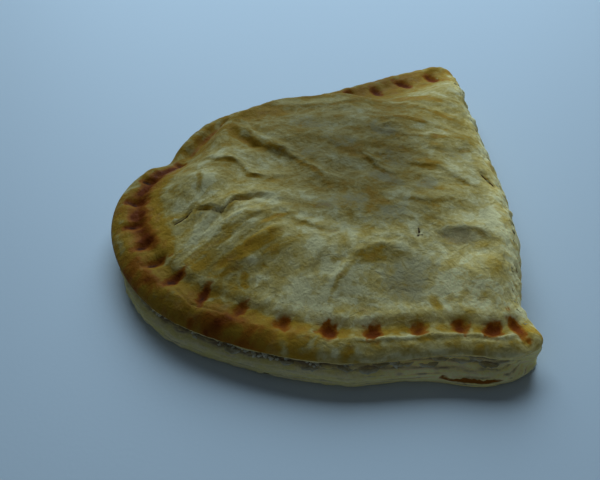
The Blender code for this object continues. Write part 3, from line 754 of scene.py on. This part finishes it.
def press_pastry(bm, lip, stations):
    """Presses the round blank into the pasty, and returns each vertex's finish values."""
    layer = bm.verts.layers.int["ring"]
    vertices = list(bm.verts)
    ring = np.array([v[layer] for v in vertices])
    turn = np.array([math.atan2(v.co.y, v.co.x) for v in vertices]) / (2.0 * math.pi) % 1.0
    at = np.round(np.round(turn * stations) * CURVE_SAMPLES / stations).astype(int) % CURVE_SAMPLES
    lip_point, step_in = lip.point[at], lip.step_in[at]
    finish = {name: np.zeros(len(vertices)) for name in FINISHES}
    height = np.zeros(len(vertices))

    rim_end = LID_RINGS + RIM_RINGS
    side_end = rim_end + SIDE_RINGS
    lid_edge = lip_point + step_in * LID_EDGE_INSET
    share = np.clip(ring / LID_RINGS, 0.0, 1.0)[:, None]
    plan = CENTRE + (lid_edge - CENTRE) * share
    rim = (ring > LID_RINGS) & (ring <= rim_end)
    inset = LID_EDGE_INSET * (1.0 - (ring[rim] - LID_RINGS) / RIM_RINGS) ** 1.25
    plan[rim] = lip_point[rim] + step_in[rim] * inset[:, None]
    upper = ring <= rim_end
    crust = Crust(lip, lip.dents(), *plan[upper].T)
    height[upper] = crust.height
    plan[rim] += lip.frayed(at[rim], inset) * ridge(inset, 7.0)[:, None]
    for name, values in crust.finish().items():
        finish[name][upper] = values

    side = (ring > rim_end) & (ring <= side_end)
    share = (ring[side] - rim_end) / SIDE_RINGS
    inset, height[side], found = side_surface(lip, at[side], share)
    plan[side] = lip_point[side] + step_in[side] * inset[:, None]
    plan[side] += lip.frayed(at[side], -12.0 * share) * (1.0 - share)[:, None]
    for name, values in found.items():
        finish[name][side] = values
    under = ring > side_end
    share = ((ring[under] - side_end) / (BASE_RINGS + 1.0))[:, None]
    outer = lip_point[under] + step_in[under] * (BASE_EDGE_INSET - lip.base_out[at[under]][:, None])
    plan[under] = outer + (CENTRE - outer) * np.clip(share, 0.0, 1.0)
    finish["side"][under] = 1.0

    for vertex, (x, y), z in zip(vertices, plan - FOOTPRINT_MIDDLE, height):
        vertex.co = (x * MM, y * MM, z * MM)
    return finish


def add_piece(bm, name, material, finish=None):
    """Turns the bmesh into a piece that rides on the root body."""
    mesh = bpy.data.meshes.new(name)
    bm.to_mesh(mesh)
    bm.free()
    for key, values in (finish or {}).items():
        mesh.attributes.new(key, "FLOAT", "POINT").data.foreach_set("value", values.astype(np.float32))
    mesh.materials.append(material)
    mesh.shade_smooth()
    piece = bpy.data.objects.new(name, mesh)
    bpy.context.scene.collection.objects.link(piece)
    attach(piece, "root")
    return piece


class Socket:
    """A node's output, on which Python's operators add Math nodes."""

    def __init__(self, finish, output):
        self.finish, self.output = finish, output

    def maths(self, operation, first, second, clamp=False):
        settings = {"operation": operation, "use_clamp": clamp}
        return self.finish.node("ShaderNodeMath", settings, {0: first, 1: second})

    def __add__(self, other):
        return self.maths("ADD", self, other)

    def __sub__(self, other):
        return self.maths("SUBTRACT", self, other)

    def __rsub__(self, other):
        return self.maths("SUBTRACT", other, self)

    def __mul__(self, other):
        return self.maths("MULTIPLY", self, other)

    __radd__ = __add__

    def clamped(self):
        return self.maths("ADD", self, 0.0, clamp=True)

    def swing(self, amount):
        """Noise as a swing round zero."""
        return (self - 0.5) * amount

    def stepped(self, low, high):
        """Eased from 0 at low to 1 at high."""
        inputs = {"Value": self, "From Min": low, "From Max": high}
        return self.finish.node("ShaderNodeMapRange", {"interpolation_type": "SMOOTHSTEP"}, inputs)


class Finish:
    """A material under construction."""

    def __init__(self, name):
        self.material = bpy.data.materials.new(name)
        self.material.use_nodes = True
        self.tree = self.material.node_tree
        self.shader = self.tree.nodes["Principled BSDF"]

    def node(self, kind, settings=None, inputs=None, output=0):
        """Adds a node, its settings first and then its sockets, and returns one output."""
        added = self.tree.nodes.new(kind)
        for name, value in (settings or {}).items():
            setattr(added, name, value)
        for key, value in (inputs or {}).items():
            self.put(added.inputs[key], value)
        return Socket(self, added.outputs[output])

    def put(self, socket, value):
        if isinstance(value, Socket):
            self.tree.links.new(value.output, socket)
        elif socket.type == "RGBA" and len(value) == 3:
            socket.default_value = (*value, 1.0)
        else:
            socket.default_value = value

    def place(self, scale=(1, 1, 1), turn=0.0):
        """Object coordinates, turned about Z and scaled."""
        where = self.node("ShaderNodeTexCoord", output="Object")
        inputs = {"Vector": where, "Rotation": Euler((0, 0, math.radians(turn))), "Scale": scale}
        return self.node("ShaderNodeMapping", {"vector_type": "POINT"}, inputs)

    def noise(self, size, detail=3.0, rough=0.55, where=None, distortion=0.0):
        """Noise with features about size metres across."""
        inputs = {"Scale": 1.0 / size, "Detail": detail, "Roughness": rough, "Distortion": distortion}
        inputs["Vector"] = where or self.place()
        return self.node("ShaderNodeTexNoise", None, inputs)

    def value(self, name):
        return self.node("ShaderNodeAttribute", {"attribute_name": name}, output="Fac")

    def mixed(self, share, first, second, blend="MIX"):
        settings = {"data_type": "RGBA", "blend_type": blend, "clamp_factor": True}
        return self.node("ShaderNodeMix", settings, {0: share, 6: first, 7: second}, output=2)

    def surface(self, colour, roughness, bump, specular=0.5):
        self.put(self.shader.inputs["Base Color"], colour)
        self.put(self.shader.inputs["Roughness"], roughness)
        self.shader.inputs["Specular IOR Level"].default_value = specular
        self.put(self.shader.inputs["Normal"], bump)
        return self.material

    def bumped(self, height, distance, strength=1.0, normal=None):
        inputs = {"Height": height, "Distance": distance, "Strength": strength}
        if normal is not None:
            inputs["Normal"] = normal
        return self.node("ShaderNodeBump", None, inputs)


def crust_material(bake):
    """Thin baked crust with golden, scorched and greyed parts, and the leaves of its split edge."""
    f = Finish("baked_crust")
    broad = f.noise(0.019, 2.0, 0.5, distortion=0.6)
    mottle = f.noise(0.0080, 3.0, 0.55, distortion=0.9)
    cloud = f.noise(0.0036, 3.0, 0.6, distortion=0.6)
    film = f.noise(0.011, 1.0, 0.5, where=f.place((0.8, 1.25, 1), -30), distortion=1.5)
    veil = f.noise(0.0080, 1.0, 0.5, where=f.place((0.8, 1.25, 1), 34), distortion=1.5)
    speckle = f.noise(0.0011, 3.0, 0.6)
    linen = f.noise(0.0006, 2.0, 0.6)
    relief, streak = f.value("relief"), f.value("streak")

    # The lid, from its golden parts to its floury and greyed ones
    films = film.stepped(0.48, 0.51) * 0.6 + veil.stepped(0.52, 0.55) * 0.6
    golden = f.value("golden") + mottle.swing(1.3) + cloud.swing(1.1) + speckle.swing(0.4)
    # Crease valleys more golden: partly glaze, partly painted shade.
    golden = (golden - streak * 0.12 + films * 0.1).stepped(0.28, 0.8)
    tone = broad.swing(1.1) + mottle.swing(1.5) + cloud.swing(1.0) + speckle.swing(0.45)
    # Painted light also moves the tone towards cream on the near side and the right.
    tone = tone + 0.53 - films * 0.22 + f.value("fair") * 0.09 + f.value("pale") * 0.32
    # Crease crests paler and valleys darker: painted highlight and painted shade.
    tone = tone + relief * 0.07 + streak * 0.08 - golden * 0.62
    colour = f.mixed(tone.stepped(-0.1, 0.32), bake.gold, bake.straw)
    colour = f.mixed(tone.stepped(0.22, 0.60), colour, bake.cream)
    colour = f.mixed(tone.stepped(0.56, 1.0), colour, bake.pale)
    # Crease valleys a little greyer: painted shade.
    greyed = f.value("greyed") + mottle.swing(1.0) + speckle.swing(0.8) + cloud.swing(0.8) - streak * 0.1
    colour = f.mixed(greyed.stepped(0.3, 0.95) * 0.8, colour, bake.grey)
    # Less amber on the crease crests and more in their valleys: partly painted shade.
    tanned = mottle * 0.9 + cloud * 0.8 + f.value("golden") * 0.38 - relief * 0.1
    colour = f.mixed(tanned.stepped(1.12, 1.40) * 0.42, colour, bake.amber)

    # Rings round the dents, their floors and the burnt specks
    burnt = f.value("scorch") + cloud.swing(0.35) + speckle.swing(0.3)
    colour = f.mixed(burnt.stepped(0.10, 0.46), colour, bake.amber)
    colour = f.mixed(burnt.stepped(0.4, 0.85), colour, bake.scorch)
    charred = f.value("char") + speckle.swing(0.8) + cloud.swing(0.5)
    colour = f.mixed(charred.stepped(0.5, 1.05), colour, bake.char)

    # The side's leaves
    leafy = f.noise(0.0026, 4.0, 0.6, where=f.place((0.5, 0.5, 3.4)))
    side = f.mixed(leafy.stepped(0.32, 0.72), bake.base, bake.crumb)
    # Painted shade in the split edge's recess and between its leaves.
    side = f.mixed((f.value("hollow") + leafy.swing(1.3)).stepped(0.15, 0.95), side, bake.hollow)
    side = f.mixed((f.value("golden") + leafy - 0.5).stepped(0.3, 0.9) * 0.7, side, bake.gold)
    side = f.mixed((f.value("gravy") + leafy.swing(0.9)).stepped(0.25, 0.6), side, bake.gravy)
    colour = f.mixed(f.value("side"), colour, side)
    colour = f.mixed(f.value("crack").stepped(0.35, 0.75), colour, bake.char)
    # Speckled texture, times painted light that brightens the near side and the right and darkens the middle
    # of the lid.
    shade = (speckle * 0.36 + linen * 0.18 + 0.73) * (f.value("fair") * 0.6 + 1.0)
    shades = f.node("ShaderNodeCombineColor", None, {channel: shade for channel in range(3)})
    colour = f.mixed(1.0, colour, shades, "MULTIPLY")

    roughness = 0.62 - f.value("golden") * 0.08 + mottle.swing(0.4) + f.value("side") * 0.3
    fine = f.bumped(linen * 0.4 + speckle, 0.0002, 0.75)
    wrinkled = f.noise(0.0026, 4.0, 0.58, distortion=0.9)
    skin = f.bumped(wrinkled, 0.0006, 0.7, fine)
    return f.surface(colour, roughness.clamped(), skin, 0.025)


def leaf_material(bake, name, dark, light, golden):
    """Dry leaves and flakes, with a share of golden patches."""
    f = Finish(name)
    mottle = f.noise(0.0024, 4.0, 0.6, where=f.place((0.6, 0.6, 2.0)))
    colour = f.mixed(mottle.stepped(0.36, 0.64), dark, light)
    colour = f.mixed(f.noise(0.0045, 3.0).stepped(0.52, 0.66) * golden, colour, bake.gold)
    bump = f.bumped(f.noise(0.0009, 3.0, 0.6), 0.00015, 0.7)
    return f.surface(colour, 0.62 + mottle.swing(0.2), bump, 0.15)


def crumb_material(bake):
    """Floury crumbs."""
    f = Finish("floury_crumbs")
    mottle = f.noise(0.0016, 3.0, 0.6)
    bump = f.bumped(f.noise(0.0006, 3.0, 0.6), 0.00012, 0.6)
    colour = f.mixed(mottle.stepped(0.35, 0.6), bake.crumb, bake.flour)
    return f.surface(colour, 0.7 + mottle.swing(0.2), bump, 0.15)


def floor_material(stage):
    """A plain, faintly clouded floor."""
    f = Finish("plain_floor")
    colour = f.mixed(f.noise(0.22, 2.0, 0.5) * 0.3, stage.floor, FLOOR_CLOUD)
    bump = f.bumped(f.noise(0.0013, 1.0, 0.4), 0.00004, 0.35)
    return f.surface(colour, 0.5, bump)


def rolls(index, pace, spread, seed, count):
    """Repeatable values between -1 and 1 for one small piece."""
    return [noise.noise(Vector((index * pace, k * spread, seed))) for k in range(count)]


def add_leaf(bm, frame_of_leaf, length, width, seed, curl):
    """A thin ragged leaf, flat in its own frame's XY, with its root along -Y."""
    made = bmesh.ops.create_grid(bm, x_segments=7, y_segments=3, size=0.5)
    for vertex in made["verts"]:
        x, y = vertex.co.x, vertex.co.y
        ragged = 1.0 + 0.55 * noise.noise(Vector((x * 5.0, seed, 0.0)))
        taper = 1.0 - 0.75 * abs(x * 2.0) ** 2.5
        reach = (y + 0.5) * ragged * taper
        lift = curl * width * (reach**2) * (0.6 + noise.noise(Vector((x * 3.0, seed, 4.0))))
        lift += 0.12 * width * noise.noise(Vector((x * 6.0, y * 3.0, seed + 9.0)))
        vertex.co = frame_of_leaf @ Vector((x * length, (reach - 0.35) * width, lift)) * MM


def split_leaves(lip, count):
    """Torn leaves of pastry in the split edge."""
    bm = bmesh.new()
    crimped = np.nonzero(lip.closed < 0.25)[0]
    for index in range(count):
        roll = rolls(index, 1.73, 3.1, 7.0, 5)
        at = int(crimped[int(len(crimped) * (index * GOLDEN_STEP % 1.0))])
        inset, height = side_profile(0.26 + 0.34 * (index * PLASTIC_STEP % 1.0))
        inset = lip.deepened(at, inset) - lip.base_out[at] * near_base(height)
        plan = lip.point[at] + lip.step_in[at] * (inset + 0.15) - FOOTPRINT_MIDDLE
        height = height * lip.edge(*lip.point[at]) / SEAM_SIDE[0][1]
        nx, ny = lip.normal[at]
        turn = Matrix(((-ny, nx, 0), (nx, ny, 0), (0, 0, 1))).to_4x4()
        place = Matrix.Translation((plan[0], plan[1], height)) @ turn
        place = place @ Matrix.Rotation(0.35 * roll[0], 4, "X") @ Matrix.Rotation(0.16 * roll[1], 4, "Y")
        add_leaf(bm, place, 5.0 + 4.0 * roll[2], 1.9 + 1.2 * roll[3], index * 2.3, 0.15)
    bmesh.ops.solidify(bm, geom=bm.faces[:], thickness=0.22 * MM)
    return bm


def loose_flakes(lip, count):
    """Small thin flakes that lie on the crust, most of them beside the fold and along the cracks."""
    bm = bmesh.new()
    side = lip.point[lip.fold > 0.8]
    spots = [(px - 2.6, py) for px, py in side[:: len(side) // 24]]
    spots += FLAKE_SPOTS
    plan, heading = [], []
    for index in range(count):
        px, py = spots[index % len(spots)]
        roll = rolls(index, 2.37, 1.9, 11.0, 4)
        plan.append((px + 1.2 * roll[0], py + 4.0 * roll[1]))
        heading.append((roll[2] * 3.0, roll[3]))
    x, y = np.array(plan).T
    dents = lip.dents()
    height = Crust(lip, dents, x, y).height
    slope_x = height - Crust(lip, dents, x + SLOPE_STEP, y).height
    slope_y = height - Crust(lip, dents, x, y + SLOPE_STEP).height
    for index, (turn, roll) in enumerate(heading):
        normal = Vector((slope_x[index], slope_y[index], SLOPE_STEP)).normalized()
        upright = normal.to_track_quat("Z", "X").to_matrix().to_4x4()
        px, py = plan[index] - FOOTPRINT_MIDDLE
        where = Matrix.Translation((px, py, height[index] - 0.02))
        place = where @ upright @ Matrix.Rotation(turn, 4, "Z")
        add_leaf(bm, place, 1.9 + 1.2 * roll, 1.0 + 0.8 * abs(roll), 200.0 + index * 1.7, 0.08)
    bmesh.ops.solidify(bm, geom=bm.faces[:], thickness=0.14 * MM)
    return bm


def seam_crumbs(lip, count):
    """Floury crumbs in clumps on the lower ledge of the split edge."""
    bm = bmesh.new()
    crimped = np.nonzero((lip.closed < 0.25) & (lip.point[:, 1] < 0.0))[0]
    heap = int(np.argmin(np.linalg.norm(lip.point - CRUMB_HEAP, axis=1)))
    for index in range(count):
        clump = index // CLUMP
        roll = rolls(index, 1.37, 2.3, 17.0, 6)
        at = int(crimped[int(len(crimped) * (clump * GOLDEN_STEP % 1.0))])
        if clump < HEAP_CLUMPS:
            at = heap + CLUMP_STEP * (clump - 2)
        at = (at + int(30 * roll[0])) % CURVE_SAMPLES
        inset, height = side_profile(0.50 + 0.10 * roll[1] + 0.04 * roll[5])
        inset -= lip.base_out[at] * near_base(height)
        plan = lip.point[at] + lip.step_in[at] * (inset + 0.4) - FOOTPRINT_MIDDLE
        size = 0.35 + 0.7 * abs(roll[2])
        turn = Euler((roll[3], roll[4], index)).to_matrix().to_4x4()
        place = Matrix.Translation((plan[0], plan[1], height + 0.2)) @ turn
        made = bmesh.ops.create_icosphere(bm, subdivisions=2, radius=1.0)
        for vertex in made["verts"]:
            uneven = 0.8 + 0.8 * noise.noise(vertex.co * 1.9 + Vector((index, 0, 0)))
            stretched = Vector((vertex.co.x * 1.4, vertex.co.y, vertex.co.z * 0.7)) * size * uneven
            vertex.co = (place @ stretched) * MM
    return bm


class PASTY_OT_pastry(bpy.types.Operator):
    """Presses the pastry itself: lid, crimped flange, split edge, fold and base"""

    bl_idname = "pasty.pastry"
    bl_label = "Make Pastry"

    def execute(self, context):
        shape, bake = context.scene.pasty_shape, context.scene.pasty_bake
        bm = rolled_blank(LID_RINGS + RIM_RINGS + SIDE_RINGS + BASE_RINGS + 2, shape.stations)
        finish = press_pastry(bm, Lip(shape), shape.stations)
        pastry = add_piece(bm, "pastry", crust_material(bake), finish)
        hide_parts("pasty")
        return {"FINISHED"}


class PASTY_OT_leaves(bpy.types.Operator):
    """Adds the torn leaves and crumbs in the split edge, and the loose flakes on the crust"""

    bl_idname = "pasty.leaves"
    bl_label = "Add Leaves and Flakes"

    def execute(self, context):
        shape, bake = context.scene.pasty_shape, context.scene.pasty_bake
        lip = Lip(shape)
        # The split edge's leaves take the pale crumb and flour colours, partly the inner layers' own colour
        # and partly painted light that matches the brightened side round them.
        inner = leaf_material(bake, "inner_leaves", bake.crumb, bake.flour, 0.15)
        add_piece(split_leaves(lip, shape.seam_leaves), "split_leaves", inner)
        add_piece(seam_crumbs(lip, shape.crumbs), "seam_crumbs", crumb_material(bake))
        skin = leaf_material(bake, "skin_flakes", bake.base, bake.crumb, 0.6)
        add_piece(loose_flakes(lip, shape.flakes), "loose_flakes", skin)
        return {"FINISHED"}


class PASTY_OT_stage(bpy.types.Operator):
    """Sets the plain floor, the soft lights and the camera"""

    bl_idname = "pasty.stage"
    bl_label = "Set Stage"

    def execute(self, context):
        stage, scene = context.scene.pasty_stage, context.scene
        bm = bmesh.new()
        bmesh.ops.create_grid(bm, x_segments=1, y_segments=1, size=FLOOR_SIZE)
        mesh = bpy.data.meshes.new("floor")
        bm.to_mesh(mesh)
        bm.free()
        mesh.materials.append(floor_material(stage))
        floor = bpy.data.objects.new("floor", mesh)
        scene.collection.objects.link(floor)

        for name, power, size, place, tint in LIGHTS:
            self.soft_light(scene, name, getattr(stage, power), size, place, tint)
        world = bpy.data.worlds.new("soft_sky")
        world.use_nodes = True
        background = world.node_tree.nodes["Background"].inputs
        background["Color"].default_value = SKY_COLOUR
        background["Strength"].default_value = stage.sky
        scene.world = world
        scene.view_settings.view_transform = "Standard"

        lens = bpy.data.cameras.new("camera")
        lens.sensor_width, lens.lens = SENSOR_WIDTH, stage.focal_length
        lens.clip_start, lens.clip_end = 0.01, 20.0
        camera = bpy.data.objects.new("camera", lens)
        scene.collection.objects.link(camera)
        x, y, z = CAMERA_PLACE
        camera.location = ((x - FOOTPRINT_MIDDLE[0]) * MM, (y - FOOTPRINT_MIDDLE[1]) * MM, z * MM)
        turn = Matrix.Rotation(math.radians(90.0 - CAMERA_DOWN), 4, "X")
        turn = turn @ Matrix.Rotation(math.radians(CAMERA_ROLL), 4, "Z")
        camera.rotation_euler = turn.to_euler()
        scene.camera = camera
        return {"FINISHED"}

    def soft_light(self, scene, name, power, size, place, tint):
        lamp = bpy.data.lights.new(name, "AREA")
        lamp.energy, lamp.size, lamp.color = power, size, tint
        light = bpy.data.objects.new(name, lamp)
        light.location = place
        light.rotation_euler = (Vector((0, 0, 0.01)) - light.location).to_track_quat("-Z", "Y").to_euler()
        scene.collection.objects.link(light)


class PASTY_PT_panel(bpy.types.Panel):
    """Lists the pasty's settings and the buttons that make it and its stage"""

    bl_idname = "PASTY_PT_panel"
    bl_label = "Pasty"
    bl_space_type = "VIEW_3D"
    bl_region_type = "UI"
    bl_category = "Pasty"

    def draw(self, context):
        layout, scene = self.layout, context.scene
        for group in (scene.pasty_shape, scene.pasty_bake, scene.pasty_stage):
            box = layout.box()
            for name in group.__annotations__:
                box.prop(group, name)
        for operator in (PASTY_OT_pastry, PASTY_OT_leaves, PASTY_OT_stage):
            layout.operator(operator.bl_idname)


GROUPS = {"pasty_shape": PastyShape, "pasty_bake": PastyBake, "pasty_stage": PastyStage}
OPERATORS = (PASTY_OT_pastry, PASTY_OT_leaves, PASTY_OT_stage)


def register():
    for name, group in GROUPS.items():
        bpy.utils.register_class(group)
        setattr(bpy.types.Scene, name, bpy.props.PointerProperty(type=group))
    for operator in OPERATORS:
        bpy.utils.register_class(operator)
    bpy.utils.register_class(PASTY_PT_panel)


def unregister():
    bpy.utils.unregister_class(PASTY_PT_panel)
    for operator in reversed(OPERATORS):
        bpy.utils.unregister_class(operator)
    for name, group in GROUPS.items():
        delattr(bpy.types.Scene, name)
        bpy.utils.unregister_class(group)


def main():
    register()
    bpy.ops.pasty.pastry()
    bpy.ops.pasty.leaves()
    bpy.ops.pasty.stage()


if __name__ == "__main__":
    main()
